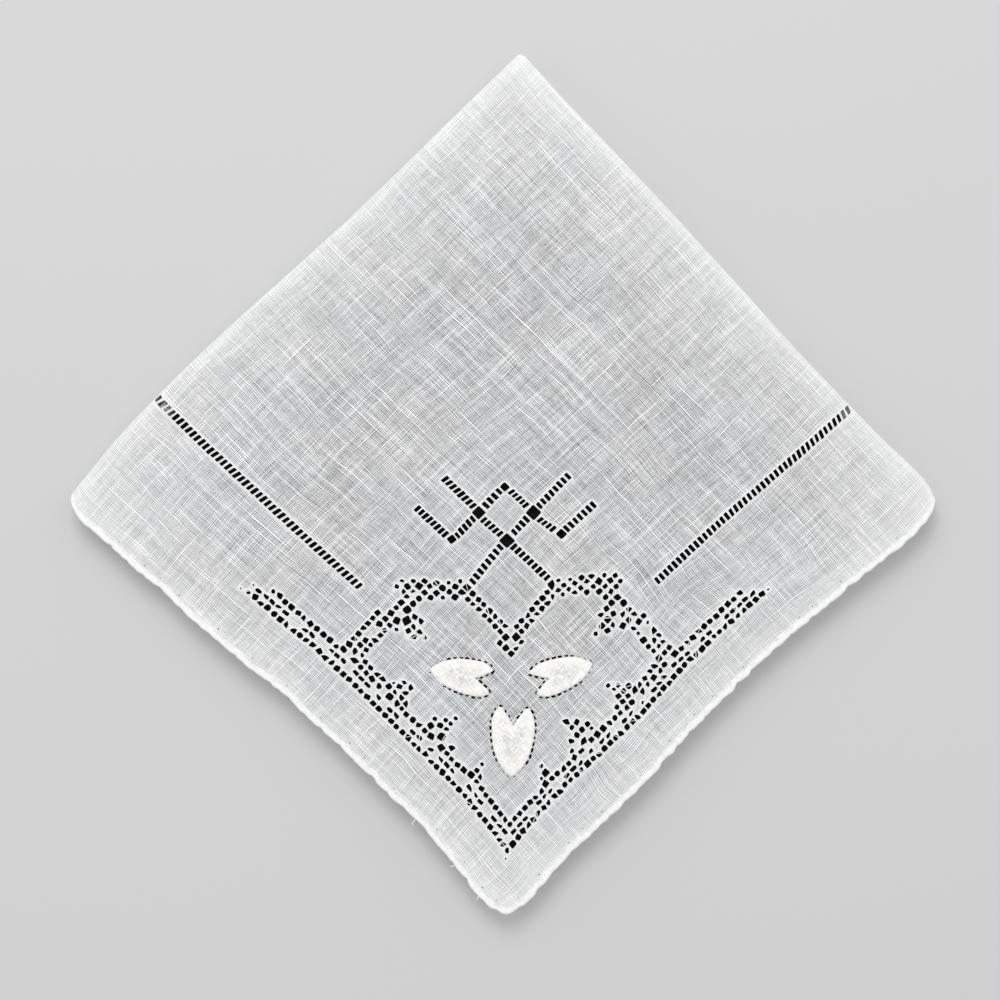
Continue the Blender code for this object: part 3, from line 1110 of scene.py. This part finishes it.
def petal(name, material):
    """One petal of closer linen, its edge turned under, lying on the top layer."""
    sizes, outline = petal_shape(name)
    heart = sizes["length"] * PETAL_HEART
    points, faces, places, turned = [], [], [], []

    def add_level(shares_and_lifts, flip):
        base = len(points)
        count = len(outline)
        a, b = petal_place(sizes, heart, 0.0)
        points.append(on_top(a, b, shares_and_lifts[0][1]))
        places.append((a, CLOTH_SIDE - b))
        turned.append(0.0)
        for share, lift in shares_and_lifts[1:]:
            for x, y in outline:
                a, b = petal_place(sizes, heart + share * (x - heart), share * y)
                rise = 0.0
                if share < PETAL_FLAT and not flip:
                    bump = noise.noise(Vector((a / UNEVEN_SIZE, b / UNEVEN_SIZE, 1.0)))
                    rise = UNEVEN_RISE * bump
                points.append(on_top(a, b, lift + rise))
                places.append((a, CLOTH_SIDE - b))
                rag = noise.noise(Vector((a / RAGGED_SIZE, b / RAGGED_SIZE, 7.0)))
                share_turned = (share + RAGGED * rag - TURNED_FROM) / TURNED_OVER
                turned.append(min(max(share_turned, 0.0), 1.0))
        rings = len(shares_and_lifts) - 1
        for k in range(count):
            following = (k + 1) % count
            first = [base, base + 1 + k, base + 1 + following]
            faces.append(tuple(reversed(first)) if flip else tuple(first))
            for ring in range(rings - 1):
                low, high = base + 1 + ring * count, base + 1 + (ring + 1) * count
                quad = [low + k, high + k, high + following, low + following]
                faces.append(tuple(reversed(quad)) if flip else tuple(quad))
        return base + 1 + (rings - 1) * count

    place, reach, rise = PETAL_RIDGE
    upper = [(0.0, PETAL_SEAT + PETAL_CLOTH + PETAL_DOME)]
    for k in range(1, PETAL_RINGS + 1):
        share = 1 - (1 - k / PETAL_RINGS) ** PETAL_CROWDING
        fullness = math.sqrt(max(0.0, 1 - share**PETAL_FULLNESS))
        ridge = rise * math.exp(-(((share - place) / reach) ** 2))
        dome = PETAL_DOME * (1 - 0.5 * share**2)
        upper.append((share, PETAL_SEAT + fullness * (PETAL_CLOTH + dome + ridge)))
    lower = [(share, PETAL_SEAT) for share in PETAL_UNDERSIDE]
    top_edge = add_level(upper, flip=True)
    bottom_edge = add_level(lower, flip=False)
    count = len(outline)
    for k in range(count):
        following = (k + 1) % count
        faces.append((bottom_edge + k, top_edge + k, top_edge + following, bottom_edge + following))
    piece = add_piece(name + "_cloth", (points, faces, places), material, turned)
    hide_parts(name)
    return piece


def pin_stitches(material):
    """The short stitches that hold the petals' edges, between the pin-stitch holes."""
    lists = ([], [], [])
    for name in PETALS:
        sizes, outline = petal_shape(name)
        spots = round_outline(outline, PIN_PITCH, PIN_OFFSET)
        for (x0, y0, _), (x1, y1, bearing) in pairs(spots):
            x, y = (x0 + x1) / 2, (y0 + y1) / 2
            line = []
            for out, lift in PIN_LINE:
                aside = out * MM + rng.uniform(-PIN_WAVER, PIN_WAVER) * MM
                stitch = (x - aside * math.sin(bearing), y + aside * math.cos(bearing))
                a, b = petal_place(sizes, *stitch)
                line.append(on_top(a, b, lift * MM))
            thread(line, PIN_STITCH, WHIPPING_SIDES, lists, [(a, CLOTH_SIDE - b)] * len(line))
    return add_piece("pin_stitches", lists, material)


# The weave of the lawn, in millimetres and as shares
WARP = (0.4, 22.0)
WEFT = (0.343, 14.0)
SWAY_SIZE = 9.0
SWAY = 0.5
CROWDING_SIZE = (1.1, 26.0)
CROWDING = 0.45
TRACK_GAP = 7.13
WANDER_SIZE = 24.0
WANDER = 1.1
STREAKS = (1.5, 0.25, 0.3, 0.7)
BANDS = (11.0, 1.3, 0.2, 0.8)
PATCHES = 26.0
WARP_SLUBS = (0.6, 0.66)
WEFT_SLUBS = (0.62, 0.68)
WEFT_STRENGTH = 1.3
SHADE_LEVEL = 1.05
SHADE_LEAST = 0.1
SHADES = {"weave": 1.08, "streaks": 0.14, "tones": 0.6, "slubs": 0.34, "bands": 0.13}
COOL = (0.541, 0.546, 0.559, 1)
WARM = (0.547, 0.549, 0.553, 1)
COOL_TO_WARM = (0.38, 0.62)

# Where the lawn is paler: widths in millimetres from its edges and folds, with how much paler.
# Near the folds this is partly painted light, set against the shade on the rounded fold noses
PALE_EDGES_AND_FOLD_LIGHT = ((34.0, 0.3), (8.0, 0.46), (2.6, 0.68))
PALE_WORK = -0.74
PALE_CLOTH = (0.93, 0.935, 0.935)
PALE_SHADE = (0.17, 0.8)

# Painted shade, near black, on the inner layers under the openwork, where the holes look down into
# the shadow between the layers: where it begins and is full, in millimetres
PAINTED_SHADE_COLOUR = (0.004, 0.004, 0.004, 1)
FOLD = FOLDED_SIDE / MM
PAINTED_SHADE_COLUMNS = ("across", "begins", "full")
PAINTED_SHADE_REACH = (
    ("s", FOLD, FOLD + 1.0),
    ("v", FOLD, FOLD + 1.0),
    ("a", 8.0, 9.0),
    ("b", 8.0, 9.0),
    ("a", 142.4, 141.4),
    ("b", 141.0, 139.0),
)

# The cloth of the hem and of the petals, and the thread of the whipping and of the stitches
HEM_COLOURS = ((0.985, 0.985, 0.98, 1), (0.83, 0.835, 0.835, 1))
HEM_INNER = (0.55, 1.75)
HEM_WEAVE = (1.6, 0.3, 0.34, 0.66)
HEM_DEPTH = (0.14, 0.02)
PETAL_COLOURS = ((0.84, 0.835, 0.805, 1), (0.97, 0.962, 0.925, 1))
PETAL_WEAVE = (1.8, 0.24, 0.3, 0.7)
PETAL_DEPTH = (-0.12, 0.25)
PETAL_SPECK_SIZE = 0.5
PETAL_SPECK = (1.4, 0.7)
THREAD_GRAIN = (0.16, 0.92)
THREAD_PATCH_SIZE = 3.0
THREAD_PATCH = (0.08, 0.96)
FINISH_SOCKETS = ("Roughness", "Specular IOR Level", "Sheen Weight")
LINEN_FINISH = (0.82, 0.25, 0.1)
FLOOR_FINISH = (0.9, 0.1, 0.0)
RELIEF = {"Strength": 0.3, "Distance": 0.1 * MM}

# Where each noise starts, so that no two are alike
OFFSETS = {"sway": 5.0, "lines": 37.0, "cool": 140.0, "thread": 9.0, "speck": 61.0}
OFFSET_SLOPE = 1.7
LINE_LENGTHS = (1.0, 1.5)


class Shading:
    """The shader nodes of one material. Each input is a value or the socket that feeds it."""

    def __init__(self, name):
        self.material = bpy.data.materials.new(name)
        self.material.use_nodes = True
        self.tree = self.material.node_tree
        self.shader = self.tree.nodes["Principled BSDF"]

    def feed(self, socket, value):
        if isinstance(value, bpy.types.NodeSocket):
            self.tree.links.new(value, socket)
        else:
            socket.default_value = value

    def node(self, kind, inputs, **settings):
        """The outputs of a new node."""
        made = self.tree.nodes.new(kind)
        for name, value in settings.items():
            setattr(made, name, value)
        for name, value in inputs.items():
            self.feed(made.inputs[name], value)
        return made.outputs

    def maths(self, operation, *values):
        return self.node("ShaderNodeMath", dict(enumerate(values)), operation=operation)[0]

    def times(self, first, second):
        return self.maths("MULTIPLY", first, second)

    def linear(self, value, slope, level):
        return self.maths("MULTIPLY_ADD", value, slope, level)

    def vectors(self, operation, *values):
        return self.node("ShaderNodeVectorMath", dict(enumerate(values)), operation=operation)

    def scaled(self, vector, scale):
        inputs = {0: vector, "Scale": scale}
        return self.node("ShaderNodeVectorMath", inputs, operation="SCALE")[0]

    def noise(self, vector, **inputs):
        inputs = {"Vector": vector, "Scale": 1.0, **inputs}
        return self.node("ShaderNodeTexNoise", inputs, noise_dimensions="2D")

    def step(self, value, low, high):
        """0 below low and 1 above high, or the other way round where low is the higher."""
        inputs = {"Value": value, "From Min": low, "From Max": high}
        return self.node("ShaderNodeMapRange", inputs, interpolation_type="SMOOTHSTEP")[0]

    def mixed(self, share, first, second):
        made = self.tree.nodes.new("ShaderNodeMix")
        made.data_type = "RGBA"
        for name, value in {"Factor": share, "A": first, "B": second}.items():
            sockets = [socket for socket in made.inputs if socket.name == name and socket.enabled]
            self.feed(sockets[0], value)
        return next(socket for socket in made.outputs if socket.enabled)

    def flat_place(self):
        """The place on the flat sheet, in millimetres."""
        flat = self.node("ShaderNodeUVMap", {}, uv_map=UV_NAME)[0]
        return self.scaled(flat, CLOTH_SIDE / MM)

    def axes(self, vector):
        return list(self.node("ShaderNodeSeparateXYZ", {0: vector}))[:2]

    def worked(self):
        return self.node("ShaderNodeAttribute", {}, attribute_name=WORKED)["Fac"]

    def patches(self, place, along_s, along_v, detail=1.0, offset=0.0):
        """Noise in patches of a size in millimetres along each side of the sheet."""
        moved = self.vectors("ADD", place, (offset, OFFSET_SLOPE * offset, 0.0))[0]
        sized = self.vectors("MULTIPLY", moved, (1 / along_s, 1 / along_v, 0.0))[0]
        return self.noise(sized, Detail=detail)[0]

    def woven_lines(self, place, length, pitch, low, high):
        """(along s, along v) uneven threads of a mean length and pitch, each from 0 to 1."""
        lines = []
        both = ((LINE_LENGTHS[0] * length, pitch), (pitch, LINE_LENGTHS[1] * length))
        for number, sizes in enumerate(both):
            offset = OFFSETS["lines"] * number + length
            patches = self.patches(place, *sizes, 0.0, offset)
            lines.append(self.step(patches, low, high))
        return lines

    def plain_weave(self, place, *sizes):
        """Uneven threads both ways, from -1 between them to 1 where they cross."""
        weft, warp = self.woven_lines(place, *sizes)
        return self.maths("SUBTRACT", self.maths("ADD", weft, warp), 1.0)

    def side_by_side(self, place, across, along, pitch, length):
        """(roundness, tone) of threads that lie side by side at a mean pitch. Roundness runs from
        -1 between threads to 1 on them. Each thread has its own tone, which changes along it."""
        sway = self.patches(place, SWAY_SIZE, SWAY_SIZE, 0.0, OFFSETS["sway"] + pitch)
        lane = {
            axis: self.maths("DIVIDE", value, size)
            for axis, (value, size) in enumerate(zip((across, along), CROWDING_SIZE))
        }
        crowding = self.noise(self.node("ShaderNodeCombineXYZ", lane)[0], Detail=0.0)[0]
        swayed = self.linear(crowding, CROWDING, self.linear(sway, SWAY, across))
        turns = self.maths("DIVIDE", swayed, pitch)
        roundness = self.maths("SINE", self.times(turns, 2 * math.pi))
        number = self.maths("FLOOR", self.maths("ADD", turns, 0.25))
        track = {0: self.times(number, TRACK_GAP), 1: self.maths("DIVIDE", along, length)}
        track = self.node("ShaderNodeCombineXYZ", track)[0]
        return roundness, self.noise(track, Detail=2.0, Roughness=0.6)[0]

    def coated(self, colour, finish):
        """The finished material."""
        self.feed(self.shader.inputs["Base Color"], colour)
        for name, value in zip(FINISH_SOCKETS, finish):
            self.shader.inputs[name].default_value = value
        return self.material

    def linen(self, colour, relief):
        """The finished material, with a fine relief and the dull finish of linen."""
        bump = self.node("ShaderNodeBump", {"Height": relief, **RELIEF})[0]
        self.feed(self.shader.inputs["Normal"], bump)
        return self.coated(colour, LINEN_FINISH)


def linen_material():
    """Sheer lawn: uneven threads both ways, slubs, faint patches, paler at its hems and folds (near
    the folds partly as painted light), with painted shade, near black, on the inner layers under
    the openwork.
    """
    lawn = Shading("linen_lawn")
    place = lawn.flat_place()
    wander = lawn.noise(place, Scale=1 / WANDER_SIZE, Detail=1.0)[1]
    drift = lawn.vectors("MULTIPLY_ADD", wander, (WANDER, WANDER, 0.0), place)[0]
    for row in PULLS:
        pull = dict(zip(PULL_COLUMNS, row))
        middle = (pull["a"], CLOTH_SIDE / MM - pull["b"], 0.0)
        share = lawn.step(lawn.vectors("DISTANCE", place, middle)[1], pull["reach"], 0.0)
        moved = lawn.scaled((pull["shift_a"], -pull["shift_b"], 0.0), share)
        drift = lawn.vectors("ADD", drift, moved)[0]

    drift_s, drift_v = lawn.axes(drift)
    warp, warp_tone = lawn.side_by_side(place, drift_s, drift_v, *WARP)
    weft, weft_tone = lawn.side_by_side(place, drift_v, drift_s, *WEFT)
    streak_weft, streak_warp = lawn.woven_lines(drift, *STREAKS)
    warp_slub = lawn.times(lawn.step(warp_tone, *WARP_SLUBS), lawn.linear(warp, 0.5, 0.5))
    weft_slub = lawn.times(lawn.step(weft_tone, *WEFT_SLUBS), lawn.linear(weft, 0.4, 0.4))
    evenness = (1 + WEFT_STRENGTH) / 2
    streaks = lawn.linear(streak_warp, WEFT_STRENGTH, streak_weft)
    tones = lawn.linear(weft_tone, WEFT_STRENGTH, warp_tone)
    parts = {
        "weave": lawn.maths("ADD", lawn.times(warp, warp_tone), lawn.times(weft, weft_tone)),
        "streaks": lawn.maths("SUBTRACT", streaks, evenness),
        "tones": lawn.maths("SUBTRACT", tones, evenness),
        "slubs": lawn.maths("MAXIMUM", weft_slub, warp_slub),
        "bands": lawn.plain_weave(drift, *BANDS),
    }
    shade = SHADE_LEVEL
    for name, share in SHADES.items():
        shade = lawn.linear(parts[name], share, shade)
    shade = lawn.maths("MAXIMUM", shade, SHADE_LEAST)
    patch = lawn.patches(place, PATCHES, PATCHES, offset=OFFSETS["cool"])
    body = lawn.scaled(lawn.mixed(lawn.step(patch, *COOL_TO_WARM), COOL, WARM), shade)

    s, v = lawn.axes(place)
    across = {
        "s": s,
        "v": v,
        "a": lawn.maths("PINGPONG", s, FOLD),
        "b": lawn.maths("PINGPONG", v, FOLD),
    }
    kept = 1.0
    # Paler towards the hems and folds; near the folds this is partly painted light over the shade
    # of the rounded noses
    for name in ("a", "b"):
        from_edge = lawn.maths("PINGPONG", across[name], FOLD / 2)
        for width, share in PALE_EDGES_AND_FOLD_LIGHT:
            pale = lawn.times(lawn.step(from_edge, width, 0.0), share)
            kept = lawn.times(kept, lawn.maths("SUBTRACT", 1.0, pale))
    kept = lawn.times(kept, lawn.linear(lawn.worked(), PALE_WORK, 1.0))
    paler = lawn.mixed(kept, lawn.scaled(PALE_CLOTH, lawn.linear(shade, *PALE_SHADE)), body)
    # Painted shade: the inner layers turn near black under the openwork, standing for the shadow
    # between the layers seen through the holes
    inner = 1.0
    for row in PAINTED_SHADE_REACH:
        reach = dict(zip(PAINTED_SHADE_COLUMNS, row))
        part = lawn.step(across[reach["across"]], reach["begins"], reach["full"])
        inner = lawn.times(inner, part)
    colour = lawn.mixed(inner, paler, PAINTED_SHADE_COLOUR)
    return lawn.linen(colour, lawn.maths("ADD", parts["slubs"], parts["weave"]))


def thread_material(name, colour, grain):
    """Close, nearly white linen thread or cloth with a fine uneven surface."""
    twist = Shading(name)
    place = twist.flat_place()
    fine = twist.patches(place, grain, grain, 2.0)
    sizes = (THREAD_PATCH_SIZE, THREAD_PATCH_SIZE)
    patch = twist.patches(place, *sizes, offset=OFFSETS["thread"])
    shade = twist.times(twist.linear(fine, *THREAD_GRAIN), twist.linear(patch, *THREAD_PATCH))
    return twist.linen(twist.scaled(colour, shade), fine)


def hem_material():
    """The rolled hem: white at its outer side, as grey and as plainly woven as the sheet inside."""
    roll = Shading("hem_linen")
    place = roll.flat_place()
    from_sides = [roll.maths("PINGPONG", axis, FOLD) for axis in roll.axes(place)]
    inner = roll.step(roll.maths("MINIMUM", *from_sides), *HEM_INNER)
    threads = roll.plain_weave(place, *HEM_WEAVE)
    shade = roll.linear(threads, roll.linear(inner, *HEM_DEPTH), 1.0)
    return roll.linen(roll.scaled(roll.mixed(inner, *HEM_COLOURS), shade), threads)


def petal_material():
    """Closer linen than the square's, whiter where its edge is turned under."""
    close = Shading("petal_linen_cloth")
    place = close.flat_place()
    sizes = (PETAL_SPECK_SIZE, PETAL_SPECK_SIZE)
    speck = close.patches(place, *sizes, 2.0, OFFSETS["speck"])
    threads = close.linear(speck, PETAL_SPECK[0], close.plain_weave(place, *PETAL_WEAVE))
    threads = close.maths("SUBTRACT", threads, PETAL_SPECK[1])
    turned = close.worked()
    shade = close.linear(threads, close.linear(turned, *PETAL_DEPTH), 1.0)
    return close.linen(close.scaled(close.mixed(turned, *PETAL_COLOURS), shade), threads)


# The light, the surface underneath and the camera
WORLD_STRENGTH = 0.7
WORLD_COLOUR = (1.0, 1.0, 1.0, 1)
KEY_POWER = 7.0
KEY_SIZE = 0.7
KEY_PLACE = (-0.15, 0.8, 0.98)
FLOOR_COLOUR = (0.66, 0.66, 0.665, 1)
FLOOR_HALF = 1.5
FLOOR_GAP = 0.05 * MM
LENS = 85.0
SENSOR = 36.0
PHOTO_SCALE = 0.235 * MM
PHOTO_ORIGIN = (501, 485)
PHOTO_MIDDLE = 500


def light_and_floor():
    world = bpy.data.worlds.new("studio")
    world.use_nodes = True
    background = world.node_tree.nodes["Background"]
    background.inputs["Color"].default_value = WORLD_COLOUR
    background.inputs["Strength"].default_value = WORLD_STRENGTH
    bpy.context.scene.world = world
    key_data = bpy.data.lights.new("key", "AREA")
    key_data.energy = KEY_POWER
    key_data.size = KEY_SIZE
    key = bpy.data.objects.new("key", key_data)
    key.location = KEY_PLACE
    key.rotation_euler = (-Vector(KEY_PLACE)).to_track_quat("-Z", "Y").to_euler()
    bpy.context.scene.collection.objects.link(key)

    mesh = bpy.data.meshes.new("floor")
    corners = [
        (x * FLOOR_HALF, y * FLOOR_HALF, -FLOOR_GAP)
        for x, y in ((-1, -1), (1, -1), (1, 1), (-1, 1))
    ]
    mesh.from_pydata(corners, [], [(0, 1, 2, 3)])
    mesh.materials.append(Shading("floor").coated(FLOOR_COLOUR, FLOOR_FINISH))
    floor = bpy.data.objects.new("floor", mesh)
    bpy.context.scene.collection.objects.link(floor)


def camera_above(shift, top):
    """The camera straight above, where the photograph was taken from."""
    data = bpy.data.cameras.new("camera")
    data.lens = LENS
    data.sensor_width = SENSOR
    width = 2 * PHOTO_MIDDLE * PHOTO_SCALE
    camera = bpy.data.objects.new("camera", data)
    camera.location = (
        (PHOTO_MIDDLE - PHOTO_ORIGIN[0]) * PHOTO_SCALE + shift.x,
        (PHOTO_ORIGIN[1] - PHOTO_MIDDLE) * PHOTO_SCALE + shift.y,
        top + width * LENS / SENSOR,
    )
    bpy.context.scene.collection.objects.link(camera)
    bpy.context.scene.camera = camera


def centring(piece):
    """How far everything moves so that the sheet's middle is over the middle of the solids."""
    xs = [point.co.x for point in piece.data.vertices]
    ys = [point.co.y for point in piece.data.vertices]
    low, high = cad_box
    return Vector((
        (low[0] + high[0] - min(xs) - max(xs)) / 2,
        (low[1] + high[1] - min(ys) - max(ys)) / 2,
        0.0,
    ))


def main():
    lawn = linen_material()
    hem_linen = hem_material()
    whipping_thread = thread_material("whipping_thread", (0.91, 0.915, 0.915), 0.25)
    stitch_thread = thread_material("stitch_thread", (0.88, 0.875, 0.85), 0.3)
    petal_linen = petal_material()

    punched, ladders = punched_holes(), ladder_holes()
    openwork = punched + ladders
    keep_bars(openwork)
    pins = pin_holes()
    square = linen_square(openwork + pins + hem_dots(), lawn)
    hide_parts("cloth")
    threads = whipping(punched, ladders, whipping_thread)
    hem = rolled_hem(hem_linen)
    petals = [petal(name, petal_linen) for name in PETALS]
    stitches = pin_stitches(stitch_thread)
    shift = centring(square)
    for piece in (square, threads, hem, stitches, *petals):
        piece.data.transform(Matrix.Translation(shift))
    light_and_floor()
    camera_above(shift, 2 * STACK_REACH + SHEET)
    scene = bpy.context.scene
    scene.view_settings.view_transform = "Standard"
    scene.view_settings.look = "None"


main()
